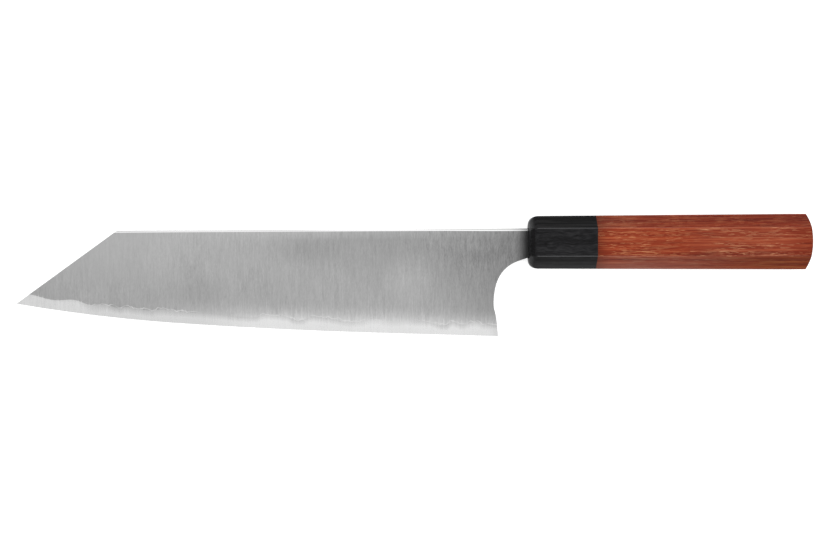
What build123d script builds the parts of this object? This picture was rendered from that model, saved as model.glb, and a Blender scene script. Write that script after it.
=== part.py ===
from build123d import *
import math
import os

os.makedirs("parts", exist_ok=True)

# Kiritsuke knife lying on its side, in millimetres.
# X runs from the blade's tip to the handle's butt, Y from the edge to the spine.
# Outlines are drawn in the knife plane, which is the blade's middle plane,
# with its zero where the handle's axis leaves the front of the ferrule.
# A reach is a distance in front of the ferrule, a drop one below that axis.

# Blade outline
blade_length = 240.0
heel_reach = 15.0
heel_drop = 46.7
tip_drop = 29.8
clip_run = 50.6
spine_rise_front = 6.95
spine_rise_corner = 6.45

# Where the edge stops being straight, and where its first arc ends:
# shares of the way from heel to tip, along the blade and upwards
edge_shares = [(0.25, 0.1125), (0.66, 0.411)]

# Choil, the hollow behind the heel, and the neck that it leaves. The neck stops
# just in front of the ferrule and goes on inside it stepped in all round.
neck_gap = 0.2
neck_drop = 7.65
neck_run = 4.0
neck_fall = 1.3
neck_step = 0.6
choil_hollow = 2.2
choil_shares = [(0.725, 0.168), (0.962, 0.399), (1.0, 0.6)]
heel_lean = 4.0

# Blade thickness and its rounded borders
spine_thickness = 2.4
corner_thickness = 2.0
heel_thickness = 0.95
spine_round = 0.95
clip_round = 0.2
choil_round = 0.3

# Convex grind, small edge bevel and the hard core between the claddings
edge_thickness = 0.06
micro_width = 0.6
micro_thickness = 0.38
grind_width = 18.0
grind_thickness = 1.46
grind_bulge = 0.06
core_thickness = 0.5
core_band = 5.8

# Waves of the line where the cladding ends: a share of the edge's length from
# the heel, and a share by which the bare band of the core is wider there
wave_shares = [
    (0.03, 0.02), (0.05, 0.18), (0.077, -0.1), (0.093, 0.1), (0.109, -0.18), (0.145, 0.1),
    (0.19, 0.12), (0.225, 0.0), (0.25, 0.18), (0.3, -0.12), (0.34, 0.04), (0.386, 0.16),
    (0.412, -0.17), (0.442, 0.13), (0.484, 0.18), (0.507, -0.12), (0.58, -0.04), (0.66, 0.03),
    (0.7, 0.07), (0.72, -0.1), (0.768, 0.02), (0.79, -0.13), (0.81, 0.03), (0.843, -0.16),
    (0.877, 0.1), (0.912, -0.13), (0.968, 0.02),
]

# Tang, the narrow tail of the blade inside the handle
tang_height = 11.4
tang_end_height = 6.0
tang_thickness = 2.0
tang_end_round = 1.5

# Handle, an octagon that grows evenly from the ferrule to the domed butt
handle_length = 139.4
handle_height = 26.0
handle_thickness = 20.4
handle_corner = 6.2
handle_taper = 0.304
ridge_round = 0.45
ferrule_length = 33.0
front_round = 4.4
butt_radius = 38.0
dome_angle = 30.0

# Joinery inside the handle: the butt's wood ends behind the dowel's bore, and
# the dowel is solid wood behind the slot that holds the tang
ferrule_wall = 4.0
slot_clearance = 0.3
seal_recess = 1.0
butt_wood = 22.4
dowel_solid = 22.8
dowel_wall = 1.1
dowel_clearance = 0.1
glue_gap = 0.3
glue_pocket = 1.2

# How far cutting shapes run past what they cut
overrun = 5.0

# Sizes that follow from those above
tip_reach = heel_reach + blade_length
corner_reach = tip_reach - clip_run
choil_reach = heel_reach + choil_hollow
choil_height = heel_drop - neck_drop
neck_height = spine_rise_front + neck_drop
neck_centre = (spine_rise_front - neck_drop) / 2
slot_height = neck_height + 2 * slot_clearance
slot_width = spine_thickness + 2 * slot_clearance
bed_height = tang_height + 2 * glue_gap
bed_width = tang_thickness + 2 * glue_gap
bore_end = handle_length - butt_wood
dowel_length = bore_end - dowel_clearance - ferrule_wall
bed_depth = dowel_length - dowel_solid
tang_length = bed_depth - glue_pocket
dowel_radius = math.hypot(bed_height, bed_width) / 2 + dowel_wall
bore_radius = dowel_radius + dowel_clearance
taper_slope = math.tan(math.radians(handle_taper))


def widest(size):
    """Size across the flats where they meet the dome of the butt."""
    half = size / 2 + handle_length * taper_slope
    rim_reach = handle_length - butt_radius + math.sqrt(butt_radius**2 - half**2)
    return size + 2 * rim_reach * taper_slope


# The knife plane. The butt and the tip are equally far from zero, and so are
# the heel and the top of the handle. The handle's lowest flat touches zero.
knife = Plane(
    origin=(
        (tip_reach - handle_length) / 2,
        (heel_drop - widest(handle_height) / 2) / 2,
        widest(handle_thickness) / 2,
    )
)

# The eight flats of the handle: the way each faces, and its distance from the
# axis at the ferrule's front
corner_distance = ((handle_height + handle_thickness) / 2 - handle_corner) / math.sqrt(2)
flats = [(0, handle_thickness / 2), (90, handle_height / 2)]
flats += [(180, handle_thickness / 2), (270, handle_height / 2)]
flats += [(angle, corner_distance) for angle in (45, 135, 225, 315)]


def across(distance):
    """Plane square to the handle's axis, at a distance behind the ferrule's front."""
    place = knife.from_local_coords((distance, 0, 0))
    return Plane(origin=place, x_dir=(0, 1, 0), z_dir=(1, 0, 0))


def cut_flats():
    """Cut the open block down to the eight flats of the handle."""
    for angle, distance in flats:
        outward = Vector(0, math.sin(math.radians(angle)), math.cos(math.radians(angle)))
        place = knife.from_local_coords(outward * distance)
        facing = outward - knife.x_dir * taper_slope
        split(bisect_by=Plane(origin=place, z_dir=facing), keep=Keep.BOTTOM)


def long_borders(blade, point):
    """Long borders of the rim face that passes nearest to a point of the outline."""
    place = knife.from_local_coords((*point, 0))
    rim = blade.faces().sort_by_distance(place)[0]
    return rim.edges().filter_by(lambda border: border.length > 2 * spine_thickness)


# Corners of the blade's outline
heel = (-heel_reach, -heel_drop)
tip = (-tip_reach, -tip_drop)
corner = (-corner_reach, spine_rise_corner)
neck_top = (-neck_gap, spine_rise_front)
neck_bottom = (-neck_gap, -neck_drop)
neck_front = (-neck_gap - neck_run, -neck_drop - neck_fall)
choil_points = [
    (-choil_reach * reach, -neck_drop - choil_height * drop) for reach, drop in choil_shares
]
choil_tangents = (
    (-neck_run, -neck_fall),
    (math.sin(math.radians(heel_lean)), -math.cos(math.radians(heel_lean))),
)
flat_end, belly_end = [
    (-heel_reach - blade_length * along, -heel_drop + (heel_drop - tip_drop) * up)
    for along, up in edge_shares
]

# Cutting edge: straight behind, then two arcs that rise to the tip
with BuildLine() as edge_line:
    edge_flat = Line(heel, flat_end)
    edge_belly = TangentArc(flat_end, belly_end, tangent=edge_flat % 1)
    edge_rise = TangentArc(belly_end, tip, tangent=edge_belly % 1)

# The same edge run on past heel and tip, for the grind that follows it
with BuildLine() as long_edge_line:
    Line(edge_flat @ 0 - (edge_flat % 0) * overrun, edge_flat @ 1)
    add(edge_belly)
    add(edge_rise)
    Line(edge_rise @ 1, edge_rise @ 1 + (edge_rise % 1) * overrun)
long_edge = knife.from_local_coords(long_edge_line.line)

# The whole ground blade with its tang, later divided into its three layers
with BuildPart() as ground_blade:
    with BuildSketch(knife.offset(-spine_thickness)):
        with BuildLine():
            add(edge_line.line)
            Polyline(tip, corner, neck_top, neck_bottom, neck_front)
            Spline(neck_front, *choil_points, heel, tangents=choil_tangents)
        make_face()
    extrude(amount=2 * spine_thickness)

    # Two flat sides, which close in towards the edge and towards the tip
    distal_slope = (spine_thickness - corner_thickness) / 2 / corner_reach
    heel_loss = (spine_thickness - heel_thickness) / 2 - distal_slope * heel_reach
    wedge_slope = heel_loss / (spine_rise_front + heel_drop)
    for side in (1, -1):
        side_plane = Plane(
            origin=knife.from_local_coords((0, spine_rise_front, side * spine_thickness / 2)),
            z_dir=(-distal_slope, -wedge_slope, side),
        )
        split(bisect_by=side_plane, keep=Keep.BOTTOM)

    # Rounded borders: spine, clip, then the choil with the underside of the neck
    spine_middle = (-corner_reach / 2, (spine_rise_front + spine_rise_corner) / 2)
    clip_middle = (-(corner_reach + tip_reach) / 2, (spine_rise_corner - tip_drop) / 2)
    fillet(long_borders(ground_blade, spine_middle), radius=spine_round)
    fillet(long_borders(ground_blade, clip_middle), radius=clip_round)
    fillet(long_borders(ground_blade, choil_points[1]), radius=choil_round)

    # Convex grind and edge bevel, cut on both sides all along the edge
    inward = (long_edge % 0).cross(knife.z_dir)
    with BuildSketch(Plane(origin=long_edge @ 0, x_dir=inward, z_dir=long_edge % 0)):
        with BuildLine():
            bevel = Line((0, edge_thickness / 2), (micro_width, micro_thickness / 2))
            grind = SagittaArc(bevel @ 1, (grind_width, grind_thickness / 2), grind_bulge)
            Polyline(
                grind @ 1,
                (grind_width, spine_thickness),
                (-overrun, spine_thickness),
                (-overrun, edge_thickness / 2),
                bevel @ 0,
            )
        make_face()
        mirror(about=Plane.XZ)
    sweep(path=long_edge, mode=Mode.SUBTRACT)

    # The neck's stepped end and the tang, which is centred on the handle's axis
    tang_end = ferrule_wall + tang_length
    with BuildSketch(knife) as tang_outline:
        with BuildLine():
            Polyline(
                (-neck_gap, spine_rise_front - neck_step),
                (ferrule_wall, spine_rise_front - neck_step),
                (ferrule_wall, tang_height / 2),
                (tang_end, tang_end_height / 2),
                (tang_end, -tang_end_height / 2),
                (ferrule_wall, -tang_height / 2),
                (ferrule_wall, neck_step - neck_drop),
                (-neck_gap, neck_step - neck_drop),
                close=True,
            )
        make_face()
        fillet(tang_outline.vertices().group_by(Axis.X)[-1], radius=tang_end_round)
    extrude(amount=tang_thickness / 2, both=True)

# Points of the wavy line above the cutting edge, where the cladding ends
wave_points = [
    edge_line.line @ along + Vector(0, core_band * (1 + wider)) for along, wider in wave_shares
]
wave_start = Vector(overrun - heel_reach, core_band - heel_drop)
wave_end = Vector(-tip_reach, core_band - tip_drop)

# Hard core: the middle layer, and the whole thickness below the wavy line
with BuildPart() as core_steel:
    with BuildSketch(knife):
        Rectangle(2 * tip_reach + overrun, 2 * tip_reach)
    extrude(amount=core_thickness / 2, both=True)
    with BuildSketch(knife):
        with BuildLine():
            Spline(wave_start, *wave_points, wave_end)
            Polyline(
                wave_end,
                (-tip_reach - overrun, -tip_drop),
                (-tip_reach, -heel_drop - overrun),
                (overrun - heel_reach, -heel_drop - overrun),
                wave_start,
            )
        make_face()
    extrude(amount=spine_thickness, both=True)
    add(ground_blade.part, mode=Mode.INTERSECT)

# Softer layers, one on each side of the core
with BuildPart() as cladding_right:
    add(ground_blade.part)
    add(core_steel.part, mode=Mode.SUBTRACT)
    split(bisect_by=knife, keep=Keep.TOP)

with BuildPart() as cladding_left:
    add(ground_blade.part)
    add(core_steel.part, mode=Mode.SUBTRACT)
    split(bisect_by=knife, keep=Keep.BOTTOM)

# Ferrule: rounded front, slot for the neck, socket for the dowel behind its wall
with BuildPart() as ferrule:
    with BuildSketch(across(0)):
        Rectangle(2 * handle_height, 2 * handle_height)
    extrude(amount=ferrule_length)
    cut_flats()
    fillet(ferrule.faces().sort_by(Axis.X)[0].edges(), radius=front_round)
    ridges = ferrule.edges().filter_by(lambda ridge: ridge.length > ferrule_length / 2)
    fillet(ridges, radius=ridge_round)
    with BuildSketch(across(0)):
        with Locations((neck_centre, 0)):
            Rectangle(slot_height, slot_width)
    extrude(amount=ferrule_wall, mode=Mode.SUBTRACT)
    with BuildSketch(across(ferrule_wall)):
        Circle(bore_radius)
    extrude(amount=ferrule_length, mode=Mode.SUBTRACT)

# Handle body: domed butt, blind bore for the dowel
with BuildPart() as handle_body:
    with BuildSketch(across(ferrule_length)):
        Rectangle(2 * handle_height, 2 * handle_height)
    extrude(amount=handle_length - ferrule_length)
    cut_flats()
    with BuildSketch(knife):
        with BuildLine():
            dome = CenterArc((handle_length - butt_radius, 0), butt_radius, 0, dome_angle)
            Polyline(
                dome @ 1,
                (handle_length + overrun, (dome @ 1).Y),
                (handle_length + overrun, 0),
                dome @ 0,
            )
        make_face()
    revolve(axis=Axis(knife.origin, knife.x_dir), mode=Mode.SUBTRACT)
    ridges = handle_body.edges().filter_by(lambda ridge: ridge.length > dowel_length / 2)
    rim = handle_body.faces().sort_by(Axis.X)[-1].edges()
    fillet(ridges + rim, radius=ridge_round)
    with BuildSketch(across(ferrule_length)):
        Circle(bore_radius)
    extrude(amount=bore_end - ferrule_length, mode=Mode.SUBTRACT)

# Dowel: round hardwood, slotted from its front for the tang
with BuildPart() as handle_dowel:
    with BuildSketch(across(ferrule_wall)):
        Circle(dowel_radius)
    extrude(amount=dowel_length)
    with BuildSketch(across(ferrule_wall)):
        Rectangle(bed_height, bed_width)
    extrude(amount=bed_depth, mode=Mode.SUBTRACT)

# Adhesive that fills the slot round the tang
with BuildPart() as tang_glue:
    with BuildSketch(across(ferrule_wall)):
        Rectangle(bed_height, bed_width)
    extrude(amount=bed_depth)
    add(ground_blade.part, mode=Mode.SUBTRACT)

# Filler round the neck, a little below the ferrule's face
with BuildPart() as mouth_seal:
    with BuildSketch(across(seal_recess)):
        with Locations((neck_centre, 0)):
            Rectangle(slot_height, slot_width)
    extrude(amount=ferrule_wall - seal_recess)
    add(ground_blade.part, mode=Mode.SUBTRACT)

core_steel.part.label = "core_steel"
cladding_left.part.label = "cladding_left"
cladding_right.part.label = "cladding_right"
ferrule.part.label = "ferrule"
handle_body.part.label = "handle_body"
handle_dowel.part.label = "handle_dowel"
tang_glue.part.label = "tang_glue"
mouth_seal.part.label = "mouth_seal"

export_step(core_steel.part, "parts/core_steel.step")
export_step(cladding_left.part, "parts/cladding_left.step")
export_step(cladding_right.part, "parts/cladding_right.step")
export_step(ferrule.part, "parts/ferrule.step")
export_step(handle_body.part, "parts/handle_body.step")
export_step(handle_dowel.part, "parts/handle_dowel.step")
export_step(tang_glue.part, "parts/tang_glue.step")
export_step(mouth_seal.part, "parts/mouth_seal.step")
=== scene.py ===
import math

import bpy
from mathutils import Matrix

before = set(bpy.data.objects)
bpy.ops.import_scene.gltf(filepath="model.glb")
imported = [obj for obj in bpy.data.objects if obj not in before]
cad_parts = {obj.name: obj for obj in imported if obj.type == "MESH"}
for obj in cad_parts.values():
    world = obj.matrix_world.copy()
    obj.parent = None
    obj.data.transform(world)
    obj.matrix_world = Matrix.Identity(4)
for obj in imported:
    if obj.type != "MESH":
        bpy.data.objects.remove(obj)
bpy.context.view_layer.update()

print("frame loaded")


# Shader maths: a wire is one output socket, and arithmetic on it adds Math nodes
class Wire:
    def __init__(self, tree, socket=None):
        self.tree = tree
        self.socket = socket

    # any node: its settings first, then the values or wires of its sockets
    def add(self, kind, settings={}, inputs={}, output=0):
        made = self.tree.nodes.new(kind)
        for name, value in settings.items():
            if name == "stops":
                ramp = made.color_ramp.elements
                while len(ramp) < len(value):
                    ramp.new(1.0)
                for stop, (position, color) in zip(ramp, value):
                    stop.position = position
                    stop.color = (*color, 1.0)
            elif name == "points":
                curve = made.mapping.curves[0].points
                while len(curve) < len(value):
                    curve.new(1.0, 0.5)
                for point, location in zip(curve, value):
                    point.location = location
                made.mapping.update()
            else:
                setattr(made, name, value)
        for name, value in inputs.items():
            if isinstance(value, Wire):
                self.tree.links.new(value.socket, made.inputs[name])
            else:
                made.inputs[name].default_value = value
        return Wire(self.tree, made.outputs[output])

    def other(self, output):
        return Wire(self.tree, self.socket.node.outputs[output])

    def math(self, operation, *values):
        return self.add("ShaderNodeMath", {"operation": operation}, dict(enumerate(values)))

    def __add__(self, value):
        return self.math("ADD", self, value)

    def __radd__(self, value):
        return self.math("ADD", value, self)

    def __sub__(self, value):
        return self.math("SUBTRACT", self, value)

    def __rsub__(self, value):
        return self.math("SUBTRACT", value, self)

    def __mul__(self, value):
        return self.math("MULTIPLY", self, value)

    def __rmul__(self, value):
        return self.math("MULTIPLY", value, self)

    def __truediv__(self, value):
        return self.math("DIVIDE", self, value)

    def __pow__(self, value):
        return self.math("POWER", self, value)

    def __abs__(self):
        return self.math("ABSOLUTE", self)

    def atLeast(self, value):
        return self.math("MAXIMUM", self, value)

    def atMost(self, value):
        return self.math("MINIMUM", self, value)

    def clamped(self, low=0.0, high=1.0):
        return self.atLeast(low).atMost(high)

    # this value where the mask is 0, and the other where it is 1
    def turnedTo(self, value, mask):
        return self + (value - self) * mask

    # smooth step from 0 at low to 1 at high
    def rise(self, low, high):
        settings = {"interpolation_type": "SMOOTHSTEP", "clamp": True}
        return self.add("ShaderNodeMapRange", settings, {0: self, 1: low, 2: high, 3: 0.0, 4: 1.0})

    # height of a curve through these points
    def curve(self, points):
        return self.add("ShaderNodeFloatCurve", {"points": points}, {"Value": self})

    # one colour where this mask is 0, and another where it is 1
    def mix(self, first, second):
        first, second = (color if isinstance(color, Wire) else (*color, 1.0) for color in (first, second))
        return self.add("ShaderNodeMix", {"data_type": "RGBA"}, {0: self, 6: first, 7: second}, output=2)

    def vector(self, operation, value, output=0):
        return self.add("ShaderNodeVectorMath", {"operation": operation}, {0: self, 1: value}, output)

    # a place stretched by three scales, or a colour times another
    def times(self, value):
        return self.vector("MULTIPLY", value)


def newMaterial(name):
    made = bpy.data.materials.new(name)
    made.use_nodes = True
    made.node_tree.nodes.clear()
    return made, Wire(made.node_tree)


def finishMaterial(start, shader):
    start.tree.links.new(shader.socket, start.tree.nodes.new("ShaderNodeOutputMaterial").inputs[0])


def objectPlace(start):
    return start.add("ShaderNodeTexCoord", output="Object")


def axes(place):
    x = place.add("ShaderNodeSeparateXYZ", {}, {0: place})
    return x, x.other(1), x.other(2)


def grey(value):
    return value.add("ShaderNodeCombineXYZ", {}, {0: value, 1: value, 2: value})


# Every noise of the materials: its scale along the three axes, its detail and its roughness
def noiseAt(place, scale, detail=2.0, rough=0.5, output=0):
    inputs = {"Vector": place.times(scale), "Scale": 1.0, "Detail": detail, "Roughness": rough}
    return place.add("ShaderNodeTexNoise", {}, inputs, output)


# The place moved about by a noise, so that what is drawn on it wavers
def bentPlace(place, scale, detail, reach):
    shift = noiseAt(place, scale, detail, output=1).vector("SUBTRACT", (0.5, 0.5, 0.5))
    return place.vector("ADD", shift.times(reach))


def bumped(height, strength, distance):
    return height.add("ShaderNodeBump", {}, {"Strength": strength, "Distance": distance, "Height": height})


# Camera above the handle's line, looking down and slightly towards the edge
viewFrom = {
    "place": (0.00225, 0.0142, 0.54093),
    "tiltDegrees": -1.621,
    "turnDegrees": -0.171,
    "lens": 46.02,
    "sensor": 36.0,
    "farthest": 50.0,
}

cameraData = bpy.data.cameras.new("camera")
cameraData.lens = viewFrom["lens"]
cameraData.sensor_width = viewFrom["sensor"]
cameraData.clip_end = viewFrom["farthest"]
camera = bpy.data.objects.new("camera", cameraData)
camera.location = viewFrom["place"]
camera.rotation_euler = (math.radians(viewFrom["tiltDegrees"]), 0.0, math.radians(viewFrom["turnDegrees"]))
bpy.context.scene.collection.objects.link(camera)
bpy.context.scene.camera = camera
bpy.context.scene.view_settings.view_transform = "Standard"
print("camera placed")


# The blade in metres: its edge is a slope with two bends, and waves are shares of the band's height
blade = {
    "heel": (0.0428, -0.030213),
    "length": 0.24,
    "slope": 0.03169,
    "bends": [(0.06, 0.199), (0.1584, 0.4277)],
    "band": 0.0058,
    "neckAt": 0.0578,
    "spineTop": 0.023437,
    "spineSlope": 0.0024462,
    "level": 0.0109311,
    "halfSpine": 0.0012,
    "thinning": 0.00097839,
    "waves": [
        (0.0, 0.0), (0.03, 0.02), (0.05, 0.18), (0.077, -0.1), (0.093, 0.1), (0.109, -0.18),
        (0.145, 0.1), (0.19, 0.12), (0.225, 0.0), (0.25, 0.18), (0.3, -0.12), (0.34, 0.04),
        (0.386, 0.16), (0.412, -0.17), (0.442, 0.13), (0.484, 0.18), (0.507, -0.12),
        (0.58, -0.04), (0.66, 0.03), (0.7, 0.07), (0.72, -0.1), (0.768, 0.02), (0.79, -0.13),
        (0.81, 0.03), (0.843, -0.16), (0.877, 0.1), (0.912, -0.13), (0.968, 0.02), (1.0, 0.0),
    ],
}


# Where a point lies on the blade, in metres and as a share of the length from heel to tip
class BladePlace:
    def __init__(self, place):
        self.place = place
        self.x, self.y, self.z = axes(place)
        fromHeel = blade["heel"][0] - self.x
        edge = fromHeel * blade["slope"] + blade["heel"][1]
        for start, bend in blade["bends"]:
            edge = edge + (fromHeel - start).atLeast(0.0) ** 2.0 * bend
        self.aboveEdge = self.y - edge
        self.share = (fromHeel / blade["length"]).clamped()
        self.fromNeck = blade["neckAt"] - self.x
        self.spine = blade["spineTop"] - self.fromNeck * blade["spineSlope"]

    # height above the edge of the line where the cladding ends
    def layerLine(self):
        wave = self.share.curve([(share, 0.5 + height) for share, height in blade["waves"]]) - 0.5
        return (1.0 + wave) * blade["band"]


# Soft spot of painted light and painted shade on the blade's side, 1 in its middle and 0 from its reach on
def spot(at, centre, reach):
    along = (at.x - centre[0]) / reach[0]
    up = (at.y - centre[1]) / reach[1]
    return (1.0 - along * along - up * up).atLeast(0.0) ** 2.0


# Shares of the length count from the heel, and lists of pairs are curves over that share
core = {
    "heelTone": 0.755,
    "tipTone": 0.66,
    "tipToneAlong": (0.48, 0.64),
    # painted reflection: the core's tone right under the line of the layers, along the blade
    "underLine": [
        (0.0, 0.57), (0.15, 0.55), (0.21, 0.63), (0.3, 0.61), (0.36, 0.55), (0.5, 0.55), (0.6, 0.5),
        (0.7, 0.48), (0.76, 0.455), (0.8, 0.46), (0.84, 0.55), (0.88, 0.6), (1.0, 0.6),
    ],
    "fade": 0.0027,                     # depth under the line at which the band is bright
    "longerFade": 0.0006,
    "longerAlong": (0.64, 0.7),
    "longerUntil": (0.83, 0.88),
    "shorterFade": 0.0016,
    "shorterAlong": (0.84, 0.9),
    "fray": 0.0016,
    # painted shade from the heel back towards the neck
    "heelShade": 0.14,
    "heelShadeAlong": (0.037, 0.0432),  # x in metres
    "streaks": 0.22,
    "tipStreaks": 1.3,
    "tipStreaksAlong": (0.76, 0.88),
    "fineStreaks": 0.15,
    "roughness": 0.28,
    "bump": 0.06,
}


# Bright band along the edge, from the core's lighter steel and from painted reflection; duller right under
# the line of the layers, and painted shade behind the heel
def coreTone(at, line, wide):
    share = at.share
    longer = share.rise(*core["longerAlong"]) * (1.0 - share.rise(*core["longerUntil"]))
    shorter = share.rise(*core["shorterAlong"])
    fade = core["fade"] + longer * core["longerFade"] - shorter * core["shorterFade"]
    below = line - at.aboveEdge + (wide - 0.5) * core["fray"]
    tipSide = share.rise(*core["tipToneAlong"])
    bright = core["heelTone"] + (core["tipTone"] - core["heelTone"]) * tipSide
    tone = share.curve(core["underLine"]).turnedTo(bright, (below / fade).clamped())
    tone = tone * (1.0 - at.x.rise(*core["heelShadeAlong"]) * core["heelShade"])
    strength = core["streaks"] * (1.0 + share.rise(*core["tipStreaksAlong"]) * core["tipStreaks"])
    return tone, strength


cladding = {
    "tone": 0.405,
    # painted light: the tone slopes from edge to spine, one way near the heel and the other way near the
    # tip
    "slant": 2.2,                       # change of tone per metre from edge to spine
    "slantLevel": 0.02,
    "slantTurnsAt": 0.43,
    "slantTurn": 5.0,
    # painted shade: darker towards the neck
    "neckTone": 0.27,
    "neckAlong": (-0.008, 0.062),       # x in metres
    # painted reflection: lighter towards the line of the layers
    "glow": 0.21,                       # lighter towards the line of the layers
    "glowFrom": 0.0145,
    "glowReach": 0.009,
    "glowFray": 0.0022,
    "glowUntil": (0.42, 0.8),
    "hazeTone": 0.6,                    # light fringe right over the line, near the tip
    "haze": 0.7,
    "hazeReach": 0.0008,
    "hazeFray": 0.005,
    "hazeAlong": (0.78, 0.86),
    # painted light: lighter just under the spine, near the neck
    "spineGlow": 0.075,
    "spineGlowFrom": 0.001,
    "spineGlowReach": 0.0045,
    "spineGlowUntil": (0.09, 0.19),     # metres from the neck
    # spots of painted light and painted shade
    "spots": [                          # centre, reach and change of tone
        ((-0.002, -0.0022), (0.017, 0.016), 0.05),
        ((-0.0508, 0.0127), (0.026, 0.0095), -0.05),
        ((-0.1056, -0.0062), (0.018, 0.012), -0.03),
        ((0.0329, 0.0092), (0.009, 0.006), -0.03),
        ((-0.1585, -0.0115), (0.015, 0.008), 0.025),
        ((0.0329, 0.0172), (0.03, 0.007), 0.038),
    ],
    "streaks": 0.74,
    "heelAlong": (0.05, 0.22),
    "heelAcross": (-0.02, 0.02),        # y in metres
    "calm": 0.55,
    "calmAlong": (0.62, 0.85),
    "calmAbove": (0.014, 0.026),
    "patches": ((70.0, 80.0, 80.0), 1.0),
    "patchLow": 0.6,
    "patchRange": 0.8,
    "fineStreaks": 0.6,
    "roughness": 0.34,
    "bump": 0.15,
}


# Grey sides, with painted light and painted shade as broad soft tones, and streaks that are stronger
# towards the heel's spine
def claddingTone(at, line, wide):
    share = at.share
    # painted light sloping from edge to spine, and painted shade towards the neck
    slant = ((share - cladding["slantTurnsAt"]) * cladding["slantTurn"]).clamped(-1.0, 1.0)
    tone = cladding["tone"] + (at.aboveEdge - cladding["slantLevel"]) * slant * cladding["slant"]
    tone = tone + at.x.rise(*cladding["neckAlong"]) * (cladding["neckTone"] - cladding["tone"])

    # painted reflection, lighter towards the line of the layers
    near = cladding["glowFrom"] - at.aboveEdge + (wide - 0.5) * cladding["glowFray"]
    glow = (near / cladding["glowReach"]).clamped() ** 2.0 * (1.0 - share.rise(*cladding["glowUntil"]))
    tone = tone + glow * cladding["glow"]
    over = line - at.aboveEdge + (wide - 0.5) * cladding["hazeFray"]
    haze = (over / cladding["hazeReach"]).clamped() * share.rise(*cladding["hazeAlong"])
    tone = tone.turnedTo(cladding["hazeTone"], haze * cladding["haze"])

    # painted light just under the spine, near the neck
    underSpine = at.spine - at.y - cladding["spineGlowFrom"]
    spineGlow = (1.0 - underSpine / cladding["spineGlowReach"]).atLeast(0.0)
    spineGlow = spineGlow * (1.0 - at.fromNeck.rise(*cladding["spineGlowUntil"]))
    tone = tone + spineGlow * cladding["spineGlow"]
    # spots of painted light and painted shade
    for centre, reach, change in cladding["spots"]:
        tone = tone + spot(at, centre, reach) * change

    heelSide = (1.0 - share.rise(*cladding["heelAlong"])) * at.y.rise(*cladding["heelAcross"])
    calm = share.rise(*cladding["calmAlong"]) * at.aboveEdge.rise(*cladding["calmAbove"])
    patchy = cladding["patchLow"] + noiseAt(at.place, *cladding["patches"]) * cladding["patchRange"]
    strength = cladding["streaks"] * (1.0 + heelSide - calm * cladding["calm"]) * patchy
    return tone, strength


threads = {
    "tone": 0.76,
    "mix": 0.66,
    "curl": ((330.0, 330.0, 330.0), 1.0),
    "curlReach": (0.004, 0.0032, 0.0),
    "overLine": 0.0004,
    "halfWidth": (0.00006, 0.00028),
    "parts": [
        (0.0, 0.8), (0.14, 0.7), (0.19, 0.1), (0.26, 0.3), (0.3, 0.9), (0.48, 0.8), (0.52, 0.0),
        (0.6, 0.0), (0.64, 0.9), (0.83, 0.8), (0.87, 0.0), (1.0, 0.0),
    ],
    "breaks": ((240.0, 0.0, 0.0), 1.0),
    "breaksFrom": (0.3, 0.5),
}


# Curled bright threads along the line of the layers
def threadMask(at):
    curled = BladePlace(bentPlace(at.place, *threads["curl"], threads["curlReach"]))
    fromLine = abs(curled.aboveEdge - curled.layerLine() - threads["overLine"])
    mask = (1.0 - fromLine.rise(*threads["halfWidth"])) * at.share.curve(threads["parts"]).atLeast(0.0)
    return mask * noiseAt(at.place, *threads["breaks"]).rise(*threads["breaksFrom"])


# The spine's polished shoulders and its plainer back, which both narrow towards the tip; their tones are
# painted highlight and painted shade, darkest beside the ferrule
spine = {
    "depth": (-0.00104, -0.0009),
    "backInset": (0.00012, 0.00026),
    "narrowing": (0.012, 0.045),
    "deeperAtNeck": 0.00025,
    "widerAtNeck": 0.00005,
    "roughness": 0.18,
    # painted highlight on the polished shoulders, with painted shade towards the ferrule
    "shoulderTone": [
        (0.0, 0.4), (0.008, 0.55), (0.024, 0.8), (0.06, 0.96), (0.38, 0.96), (0.45, 0.88), (0.6, 0.85),
        (0.7, 0.86), (0.74, 0.9), (1.0, 0.93),
    ],
    # painted light and painted shade along the back, darkest beside the ferrule
    "backTone": [
        (0.0, 0.08), (0.008, 0.12), (0.026, 0.28), (0.06, 0.42), (0.12, 0.48), (0.174, 0.58), (0.23, 0.7),
        (0.29, 0.85), (0.37, 0.85), (0.45, 0.7), (0.5, 0.6), (0.6, 0.58), (0.68, 0.56), (0.76, 0.44),
        (0.84, 0.36), (1.0, 0.32),
    ],
}


def spineMasks(at):
    atNeck = 1.0 - at.fromNeck.rise(*spine["narrowing"])
    onSpine = (at.y - at.spine + atNeck * spine["deeperAtNeck"]).rise(*spine["depth"])
    halfThickness = blade["halfSpine"] - at.fromNeck * blade["thinning"]
    inset = halfThickness - abs(at.z - blade["level"]) + atNeck * spine["widerAtNeck"]
    return onSpine, onSpine * inset.rise(*spine["backInset"])


# Brushing from spine to edge
brushing = {
    "wide": ((1300.0, 130.0, 130.0), 3.0, 0.6),
    "fine": ((4200.0, 700.0, 300.0), 2.0, 0.6),
    "cloud": ((60.0, 45.0, 60.0), 2.0, 0.5),
    "wideStreaks": 0.6,
    "clouds": 0.12,
    "roughStreaks": 0.25,
    # painted shade of the ferrule on the steel, over these metres from the neck
    "neckShade": 0.006,                 # metres from the neck
    "neckDarkest": 0.2,
    "anisotropy": 0.7,
    "bumpHeight": 0.00002,
}


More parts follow.
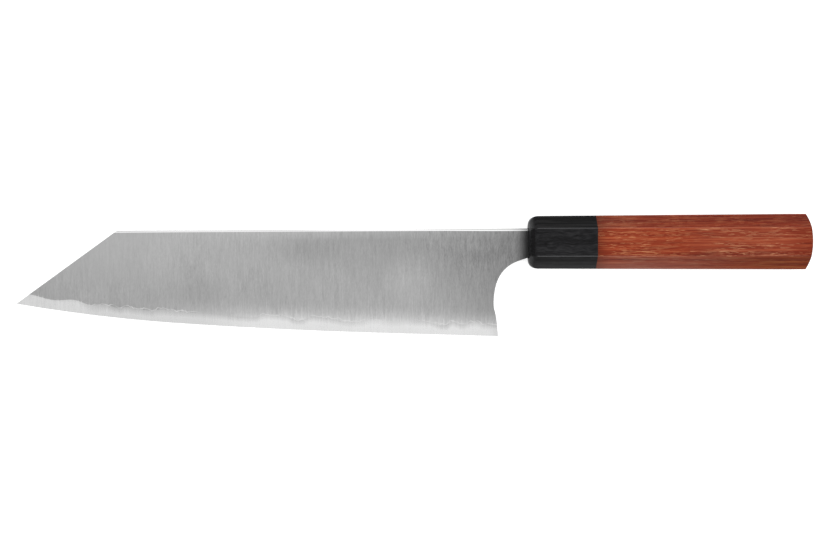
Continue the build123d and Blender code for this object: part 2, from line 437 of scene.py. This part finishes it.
def makeSteel(name, steel, steelTone):
    made, start = newMaterial(name)
    place = objectPlace(start)
    at = BladePlace(place)
    wide = noiseAt(place, *brushing["wide"])
    fine = noiseAt(place, *brushing["fine"])
    cloud = noiseAt(place, *brushing["cloud"])
    streaks = (wide - 0.5) * brushing["wideStreaks"] + (fine - 0.5) * steel["fineStreaks"]

    tone, strength = steelTone(at, at.layerLine(), wide)
    tone = tone * (1.0 + streaks * strength + (cloud - 0.5) * brushing["clouds"])
    tone = tone.turnedTo(threads["tone"], threadMask(at) * threads["mix"])
    # painted shade beside the ferrule
    tone = tone * (at.fromNeck / brushing["neckShade"]).clamped(brushing["neckDarkest"], 1.0)
    onSpine, onBack = spineMasks(at)
    spineShare = (at.fromNeck / blade["length"]).clamped()
    # painted highlight and painted shade along the spine
    tone = tone.turnedTo(spineShare.curve(spine["shoulderTone"]), onSpine)
    tone = tone.turnedTo(spineShare.curve(spine["backTone"]), onBack)
    rough = (steel["roughness"] + streaks * brushing["roughStreaks"]).turnedTo(spine["roughness"], onSpine)

    shader = place.add("ShaderNodeBsdfPrincipled", {}, {
        "Base Color": grey(tone),
        "Metallic": 1.0,
        "Roughness": rough,
        "Anisotropic": brushing["anisotropy"],
        "Tangent": place.add("ShaderNodeCombineXYZ", {}, {0: 1.0}),     # along the blade, everywhere
        "Normal": bumped(wide + fine, steel["bump"], brushing["bumpHeight"]),
    })
    finishMaterial(start, shader)
    return made


# The handle's axis, its flats and its eight ridges, which spread towards the domed butt
handle = {
    "front": blade["neckAt"],
    "axis": (0.016487, blade["level"]),
    "halfHeight": 0.013,
    "halfThickness": 0.0102,
    "upperRidge": 0.0068,
    "sideRidge": 0.004,
    "slope": 0.005306,
    "ridgeSlope": 0.0022,
    "ridgeBlend": 0.0003,
    # across the handle, where the painted sheen on the lower edge begins and is full
    "lowEdgeSheen": (0.0085, 0.0125),
    "domeCentre": 0.1592,
    "domeRadius": 0.038,
    "domeSkin": (-0.0004, -0.0001),
    "domeFrom": (0.17, 0.175),
}
unshaded = (1.0, 1.0, 1.0)


# Masks of the facets that face up: the two slanted ones, beside the spine and the edge, and the top one
def facetMasks(place):
    x, y, z = axes(place)
    ridge = (x - handle["front"]) * handle["ridgeSlope"]
    upper, lower = (
        ((y - handle["axis"][0]) * side - ridge - handle["upperRidge"]).rise(0.0, handle["ridgeBlend"])
        for side in (1.0, -1.0)
    )
    return {"upper": upper, "lower": lower, "top": (1.0 - upper) * (1.0 - lower)}


def domeMask(place):
    x, y, z = axes(place)
    fromCentre = place.vector("DISTANCE", (handle["domeCentre"], *handle["axis"]), output=1)
    return (fromCentre - handle["domeRadius"]).rise(*handle["domeSkin"]) * x.rise(*handle["domeFrom"])


# A wood's colour with painted light and painted shade on each facet, whose steps follow one another along
# the handle
def paintFacetLight(color, place, masks, paintedFacetLight):
    x, y, z = axes(place)
    for facet, steps in paintedFacetLight.items():
        start, facetLight = steps[0]
        for end, further in steps[1:]:
            facetLight = x.rise(start, end).mix(facetLight, further)
            start = end
        color = color.times(masks[facet].mix(unshaded, facetLight))
    return color


# 1 within reach of the handle's ridges, fading over soft: rubbed ridges with painted highlight
def ridgeWearAndHighlight(place, reach, soft):
    x, y, z = axes(place)
    along = x - handle["front"]
    across = abs(y - handle["axis"][0])
    height = abs(z - handle["axis"][1])
    flatSpread = along * handle["slope"]
    ridgeSpread = along * handle["ridgeSlope"]

    def gapTo(acrossAt, acrossSpread, heightAt, heightSpread):
        sideways = across - acrossSpread - acrossAt
        upwards = height - heightSpread - heightAt
        return (sideways * sideways + upwards * upwards) ** 0.5

    upper = gapTo(handle["upperRidge"], ridgeSpread, handle["halfThickness"], flatSpread)
    side = gapTo(handle["halfHeight"], flatSpread, handle["sideRidge"], ridgeSpread)
    return 1.0 - upper.atMost(side).rise(reach, reach + soft)


# Red-brown wood: x of the painted facet light and other places along the handle is in metres
redWood = {
    "stops": [
        (0.25, (0.125, 0.020, 0.012)),
        (0.43, (0.232, 0.039, 0.019)),
        (0.57, (0.312, 0.061, 0.028)),
        (0.74, (0.440, 0.110, 0.048)),
    ],
    "tone": 0.489,
    "sway": ((90.0, 110.0, 110.0), 2.0),
    "swayReach": (0.0, 0.0006, 0.0006),
    "bands": ((8.0, 420.0, 420.0), 3.0, 0.6),
    "bandContrast": 0.72,
    "fibres": ((45.0, 1900.0, 1900.0), 2.0, 0.6),
    "fibreContrast": {"top": 0.66, "upper": 0.3, "lower": -0.2},        # the slanted facets' are added
    "topHalf": 0.0065,
    "topSlope": 5.0,
    "pores": {
        "dark": {"grain": ((75.0, 2300.0, 2300.0), 1.0), "from": (0.58, 0.7), "mix": 0.35,
                 "color": (0.09, 0.015, 0.01)},
        "long": {"grain": ((30.0, 1700.0, 1700.0), 1.0), "from": (0.58, 0.7), "mix": 0.35,
                 "color": (0.6, 0.28, 0.145)},
        "light": {"grain": ((190.0, 4700.0, 4700.0), 1.0), "from": (0.6, 0.66), "mix": 0.95,
                  "color": (0.6, 0.28, 0.145)},
    },
    "patches": ((60.0, 330.0, 330.0), 1.0),
    "patchesFrom": (0.3, 0.56),
    "fewerOnLower": 0.7,
    # painted shade on the upper and top facets and painted sheen on the lower one, in steps along the
    # handle
    "paintedFacetLight": {
        "upper": [(0.098, (0.82, 0.78, 0.8)), (0.125, (0.77, 0.54, 0.49)), (0.185, (0.7, 0.46, 0.42))],
        "lower": [(0.098, (0.93, 1.15, 1.4)), (0.125, (0.98, 1.25, 1.5)), (0.18, (0.72, 0.64, 0.43))],
        "top": [(0.13, (1.0, 0.87, 0.78)), (0.145, (1.0, 1.0, 1.0)), (0.178, (0.98, 0.95, 0.97)),
                (0.1935, (0.76, 0.58, 0.55))],
    },
    # one even painted shade on the domed butt
    "domeShade": (0.72, 0.62, 0.56),
    # painted sheen on the lower edge
    "lowEdgeSheen": (0.34, 0.15, 0.12),
    "lowEdgeSheenMix": 0.3,
    "lowEdgeSheenUntil": (0.1, 0.16),
    # rubbed ridges with painted highlight
    "wornAndHighlight": (0.52, 0.2, 0.14),
    "wearAndHighlight": (0.00012, 0.00012),
    "wearAndHighlightMix": 0.55,
    "lessWearAndHighlight": 0.55,
    "lessWearAndHighlightAlong": (0.1, 0.15),
    # painted shade beside the ferrule
    "shadeUntil": 0.1,
    "darkLength": 0.0092,
    "darkness": 0.43,
    "roughness": {"base": 0.46, "fibres": 0.2, "pores": 0.15, "wearAndHighlight": -0.08},
    "relief": {"fibres": 0.4, "dark": -0.6, "light": -0.4},
    "bump": (0.35, 0.00006),
    "specular": 0.07,
}


def makeRedWood():
    made, start = newMaterial("redWoodOiled")
    place = objectPlace(start)
    x, y, z = axes(place)
    masks = facetMasks(place)
    upper, lower = masks["upper"], masks["lower"]
    grain = bentPlace(place, *redWood["sway"], redWood["swayReach"])
    bands = noiseAt(grain, *redWood["bands"])
    fibres = noiseAt(grain, *redWood["fibres"])
    weights = redWood["fibreContrast"]
    contrast = weights["top"] + upper * weights["upper"] + lower * weights["lower"]
    fromAxis = y - handle["axis"][0]
    topSlope = fromAxis.clamped(-redWood["topHalf"], redWood["topHalf"]) * redWood["topSlope"]
    tone = redWood["tone"] + (bands - 0.5) * redWood["bandContrast"] + (fibres - 0.5) * contrast + topSlope
    color = place.add("ShaderNodeValToRGB", {"stops": redWood["stops"]}, {0: tone})

    # light pores gather in patches, and are few on the lower facet
    patches = noiseAt(grain, *redWood["patches"]).rise(*redWood["patchesFrom"])
    pores = {}
    for kind, pore in redWood["pores"].items():
        pores[kind] = noiseAt(grain, *pore["grain"]).rise(*pore["from"])
        if kind == "light":
            pores[kind] = pores[kind] * patches * (1.0 - lower * redWood["fewerOnLower"])
        color = (pores[kind] * pore["mix"]).mix(color, pore["color"])

    # the dome gets one even painted shade instead of the facets' painted light
    onDome = domeMask(place)
    flats = {facet: mask * (1.0 - onDome) for facet, mask in masks.items()}
    color = paintFacetLight(color, place, flats, redWood["paintedFacetLight"])
    color = color.times(onDome.mix(unshaded, redWood["domeShade"]))

    # painted sheen on the lower edge, rubbed ridges with painted highlight, and painted shade beside the
    # ferrule
    # painted sheen on the lower edge
    lowEdgeSheen = lower * (handle["axis"][0] - y).rise(*handle["lowEdgeSheen"])
    lowEdgeSheen = lowEdgeSheen * (1.0 - x.rise(*redWood["lowEdgeSheenUntil"]))
    color = (lowEdgeSheen * redWood["lowEdgeSheenMix"]).mix(color, redWood["lowEdgeSheen"])
    # rubbed ridges with painted highlight
    wearAndHighlight = ridgeWearAndHighlight(place, *redWood["wearAndHighlight"])
    wearAndHighlight = wearAndHighlight * (1.0 - x.rise(*redWood["lessWearAndHighlightAlong"]) * redWood["lessWearAndHighlight"])
    color = (wearAndHighlight * redWood["wearAndHighlightMix"]).mix(color, redWood["wornAndHighlight"])
    # painted shade beside the ferrule
    shadeBesideFerrule = ((redWood["shadeUntil"] - x) / redWood["darkLength"]).atLeast(0.0) ** 2.0
    color = color.times(grey(1.0 - shadeBesideFerrule * redWood["darkness"]))

    weights = redWood["roughness"]
    rough = weights["base"] + (fibres - 0.5) * weights["fibres"]
    rough = rough + pores["light"] * weights["pores"] + wearAndHighlight * weights["wearAndHighlight"]
    weights = redWood["relief"]
    relief = fibres * weights["fibres"]
    relief = relief + pores["dark"] * weights["dark"] + pores["light"] * weights["light"]
    shader = place.add("ShaderNodeBsdfPrincipled", {}, {
        "Base Color": color,
        "Roughness": rough,
        "Specular IOR Level": redWood["specular"],
        "Normal": bumped(relief, *redWood["bump"]),
    })
    finishMaterial(start, shader)
    return made


# Black stained wood: places on its rounded front are in metres from there
blackWood = {
    "stops": [
        (0.28, (0.007, 0.0068, 0.007)),
        (0.5, (0.0155, 0.0155, 0.0162)),
        (0.72, (0.031, 0.031, 0.0318)),
    ],
    "bend": ((130.0, 170.0, 170.0), 1.0),
    "bendReach": (0.0, 0.0038, 0.002),
    "bands": ((18.0, 650.0, 650.0), 3.0, 0.65),
    "upperContrast": 1.6,
    "fibres": ((240.0, 2400.0, 2400.0), 2.0, 0.6),
    "fibreContrast": 0.6,
    "topFibreContrast": 0.25,
    # painted shade on each facet, darkest on the upper one
    "paintedFacetLight": {
        "upper": [(0.0, (0.57, 0.57, 0.57))],
        "lower": [(0.0, (0.74, 0.74, 0.74))],
        "top": [(0.0, (0.93, 0.92, 0.94))],
    },
    # rubbed ridges with painted highlight, and the colour of the painted sheen on the lower edge
    "wornAndHighlight": (0.1, 0.1, 0.103),
    "lowEdgeSheenMix": 0.2,
    # painted shade and painted highlight on the rounded front
    "frontShade": (0.004, 0.0037, 0.0037),
    "darkFrom": (0.0004, 0.0009),
    "shadeUntil": (0.0021, 0.0028),
    "darkMix": 0.3,
    "topDarkMix": 0.35,
    "frontHighlight": (0.07, 0.07, 0.072),
    "lightFrom": (0.0, 0.0003),
    "lightUntil": (0.0007, 0.0026),
    "lightMix": 0.6,
    "wearAndHighlight": (0.0001, 0.0002),
    "wearAndHighlightFrom": (0.0025, 0.004),
    "wearAndHighlightMix": 0.68,
    "lowerWearAndHighlightMix": 0.32,
    "lowerFrom": (0.0, 0.002),
    "roughness": {"base": 0.4, "bands": 0.25, "wearAndHighlight": -0.06},
    "fibreRelief": 0.5,
    "bump": (0.3, 0.00006),
    "specular": 0.05,
}


def makeBlackWood():
    made, start = newMaterial("blackWoodStained")
    place = objectPlace(start)
    x, y, z = axes(place)
    masks = facetMasks(place)
    top = masks["top"]

    # straight lines on the slanted facets, bent fibres on the top
    grain = bentPlace(place, *blackWood["bend"], grey(top).times(blackWood["bendReach"]))
    bands = noiseAt(grain, *blackWood["bands"])
    fibres = noiseAt(grain, *blackWood["fibres"])
    fibreContrast = blackWood["fibreContrast"] + top * blackWood["topFibreContrast"]
    tone = bands + (bands - 0.5) * masks["upper"] * blackWood["upperContrast"]
    tone = tone + (fibres - 0.5) * fibreContrast
    color = place.add("ShaderNodeValToRGB", {"stops": blackWood["stops"]}, {0: tone})
    # painted shade on each facet
    color = paintFacetLight(color, place, masks, blackWood["paintedFacetLight"])
    # painted sheen on the lower edge
    belowAxis = handle["axis"][0] - y
    lowEdgeSheen = masks["lower"] * belowAxis.rise(*handle["lowEdgeSheen"])
    color = (lowEdgeSheen * blackWood["lowEdgeSheenMix"]).mix(color, blackWood["wornAndHighlight"])

    # the rounded front: painted shade on the top, painted highlight on the slanted facets
    along = x - handle["front"]
    dark = along.rise(*blackWood["darkFrom"]) * (1.0 - along.rise(*blackWood["shadeUntil"]))
    dark = dark * (top * blackWood["topDarkMix"] + blackWood["darkMix"])
    color = dark.mix(color, blackWood["frontShade"])
    light = along.rise(*blackWood["lightFrom"]) * (1.0 - along.rise(*blackWood["lightUntil"])) * (1.0 - top)
    color = (light * blackWood["lightMix"]).mix(color, blackWood["frontHighlight"])
    # rubbed ridges with painted highlight
    wearAndHighlight = ridgeWearAndHighlight(place, *blackWood["wearAndHighlight"]) * along.rise(*blackWood["wearAndHighlightFrom"])
    wearAndHighlightMix = blackWood["wearAndHighlightMix"] + belowAxis.rise(*blackWood["lowerFrom"]) * blackWood["lowerWearAndHighlightMix"]
    color = (wearAndHighlight * wearAndHighlightMix).mix(color, blackWood["wornAndHighlight"])

    weights = blackWood["roughness"]
    rough = weights["base"] + (bands - 0.5) * weights["bands"] + wearAndHighlight * weights["wearAndHighlight"]
    shader = place.add("ShaderNodeBsdfPrincipled", {}, {
        "Base Color": color,
        "Roughness": rough,
        "Specular IOR Level": blackWood["specular"],
        "Normal": bumped(bands + fibres * blackWood["fibreRelief"], *blackWood["bump"]),
    })
    finishMaterial(start, shader)
    return made


# The hidden pieces, each with one grain between two colours
plainFinishes = {
    "handle_dowel": {"name": "plainDowelWood", "low": (0.42, 0.27, 0.15), "high": (0.62, 0.45, 0.27),
                     "roughness": 0.6, "grain": ((30.0, 900.0, 900.0), 3.0, 0.6)},
    "tang_glue": {"name": "setResin", "low": (0.5, 0.4, 0.2), "high": (0.65, 0.55, 0.34),
                  "roughness": 0.35, "grain": ((300.0, 300.0, 300.0), 3.0, 0.6)},
    "mouth_seal": {"name": "blackFiller", "low": (0.008, 0.008, 0.008), "high": (0.02, 0.02, 0.02),
                   "roughness": 0.55, "grain": ((900.0, 900.0, 900.0), 3.0, 0.6)},
}
plainSurface = {"roughGrain": 0.2, "bump": (0.3, 0.00005)}


def makePlain(finish):
    made, start = newMaterial(finish["name"])
    place = objectPlace(start)
    grain = noiseAt(place, *finish["grain"])
    shader = place.add("ShaderNodeBsdfPrincipled", {}, {
        "Base Color": grain.mix(finish["low"], finish["high"]),
        "Roughness": finish["roughness"] + (grain - 0.5) * plainSurface["roughGrain"],
        "Normal": bumped(grain, *plainSurface["bump"]),
    })
    finishMaterial(start, shader)
    return made


brushedCladding = makeSteel("brushedCladding", cladding, claddingTone)
finishes = {
    "core_steel": makeSteel("brightCore", core, coreTone),
    "cladding_left": brushedCladding,
    "cladding_right": brushedCladding,
    "ferrule": makeBlackWood(),
    "handle_body": makeRedWood(),
}
for node, finish in plainFinishes.items():
    finishes[node] = makePlain(finish)
for node, material in finishes.items():
    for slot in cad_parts[node].material_slots:
        slot.material = material
print("finishes made")


# Pale floor, which shows as white and keeps the knife's soft shadow
studio = {
    "floorSize": 8.0,
    "floorLevel": -0.0001,
    "floorTone": (0.88, 0.88, 0.88, 1.0),
    "floorLift": 0.6,
    "whiteFrom": (0.4, 0.9),
    "white": (1.0, 1.0, 1.0, 1.0),
    "whiteStrength": 1.0,
    "fill": 0.3,
    "lampSize": (1.5, 1.2),
    "lampPlace": (0.0, 0.1, 1.5),
    "lampPower": 20.0,
}


# 1 for what the camera sees straight, in a reflection or through glass
def seenBackground(start):
    straight = start.add("ShaderNodeLightPath", output="Is Camera Ray")
    return straight.atLeast(straight.other("Is Glossy Ray")).atLeast(straight.other("Is Transmission Ray"))


bpy.ops.mesh.primitive_plane_add(size=studio["floorSize"], location=(0.0, 0.0, studio["floorLevel"]))
floor = bpy.context.object
floor.name = "floor"
floorMaterial, start = newMaterial("paleFloor")
lit = start.add("ShaderNodeBsdfDiffuse", {}, {"Color": studio["floorTone"]})
lift = start.add("ShaderNodeEmission", {}, {"Strength": studio["floorLift"]})
lifted = start.add("ShaderNodeAddShader", {}, {0: lit, 1: lift})
seen = seenBackground(start)
near = start.add("ShaderNodeMixShader", {}, {0: seen, 1: lit, 2: lifted})
x, y, z = axes(objectPlace(start))
farOff = ((x * x + y * y) ** 0.5).rise(*studio["whiteFrom"])
plainWhite = start.add("ShaderNodeEmission", {}, {"Strength": studio["whiteStrength"]})
finishMaterial(start, start.add("ShaderNodeMixShader", {}, {0: seen * farOff, 1: near, 2: plainWhite}))
floor.data.materials.append(floorMaterial)

world = bpy.data.worlds.new("studio")
bpy.context.scene.world = world
world.use_nodes = True
world.node_tree.nodes.clear()
start = Wire(world.node_tree)
fill = start.add("ShaderNodeBackground", {}, {"Color": studio["white"], "Strength": studio["fill"]})
backdrop = start.add("ShaderNodeBackground", {}, {
    "Color": studio["white"],
    "Strength": studio["whiteStrength"],
})
light = start.add("ShaderNodeMixShader", {}, {0: seenBackground(start), 1: fill, 2: backdrop})
start.tree.links.new(light.socket, start.tree.nodes.new("ShaderNodeOutputWorld").inputs[0])

lampData = bpy.data.lights.new("softbox", "AREA")
lampData.shape = "RECTANGLE"
lampData.size, lampData.size_y = studio["lampSize"]
lampData.energy = studio["lampPower"]
lamp = bpy.data.objects.new("softbox", lampData)
lamp.location = studio["lampPlace"]
lamp.visible_glossy = False
bpy.context.scene.collection.objects.link(lamp)
print("studio lit")
